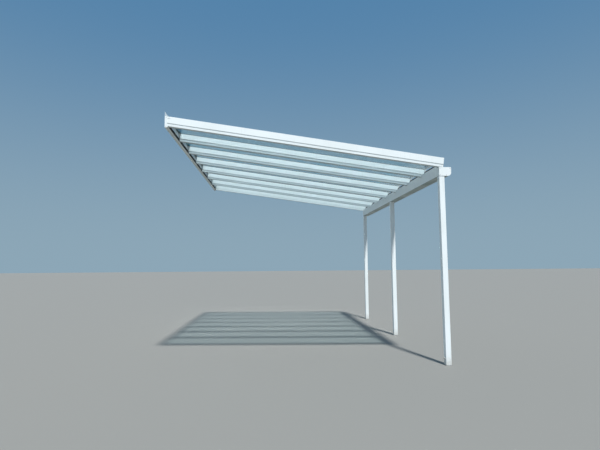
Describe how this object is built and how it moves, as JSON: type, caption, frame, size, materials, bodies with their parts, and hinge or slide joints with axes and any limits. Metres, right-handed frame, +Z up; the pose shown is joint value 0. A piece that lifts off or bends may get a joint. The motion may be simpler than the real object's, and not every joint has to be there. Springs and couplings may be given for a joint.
{
  "type": "lean-to carport",
  "caption": "Lean-to carport with a white aluminium frame: sloping rafters carry clear glass panels from a wall profile down to a gutter beam on slim square posts.",
  "frame": {"origin": "middle of the wall profile's back face, which lies on the wall", "axes": "+X out from the wall towards the gutter, +Y along the wall away from the front end with the rainwater outlet, +Z up"},
  "size_m": [4, 5.006, 3.4848],
  "materials": {
    "white_powder_coat": "satin white powder coat on extruded aluminium",
    "clear_glass": "clear laminated safety glass, faintly green",
    "black_rubber": "matt black glazing rubber",
    "bare_aluminium": "mill finish aluminium",
    "white_plastic": "white drain plastic"
  },
  "bodies": {
    "root": {"wall_profile": "white_powder_coat", "wall_profile_cover": "white_powder_coat", "wall_flashing": "white_powder_coat", "wall_end_caps": "white_powder_coat", "glass_edge_trims": "white_powder_coat", "rafter_end_caps": "white_powder_coat", "rafter_seats": "white_powder_coat", "gutter_beam": "white_powder_coat", "gutter_inner_wall": "white_powder_coat", "gutter_rafter_rail": "white_powder_coat", "gutter_outer_wall": "white_powder_coat", "gutter_rim": "white_powder_coat", "gutter_end_caps": "white_powder_coat", "gutter_upstands": "white_powder_coat", "post_front": "white_powder_coat", "post_middle": "white_powder_coat", "post_rear": "white_powder_coat", "rafter_1": "white_powder_coat", "rafter_2": "white_powder_coat", "rafter_3": "white_powder_coat", "rafter_4": "white_powder_coat", "rafter_5": "white_powder_coat", "rafter_6": "white_powder_coat", "rafter_7": "white_powder_coat", "rafter_8": "white_powder_coat", "cover_strip_1": "white_powder_coat", "cover_strip_2": "white_powder_coat", "cover_strip_3": "white_powder_coat", "cover_strip_4": "white_powder_coat", "cover_strip_5": "white_powder_coat", "cover_strip_6": "white_powder_coat", "cover_strip_7": "white_powder_coat", "cover_strip_8": "white_powder_coat", "glass_panel_1": "clear_glass", "glass_panel_2": "clear_glass", "glass_panel_3": "clear_glass", "glass_panel_4": "clear_glass", "glass_panel_5": "clear_glass", "glass_panel_6": "clear_glass", "glass_panel_7": "clear_glass", "glazing_gaskets": "black_rubber", "seal_strips": "black_rubber", "post_end_plates": "bare_aluminium", "gutter_outlet": "white_plastic", "drain_spout": "white_plastic"}
  },
  "joints": []
}
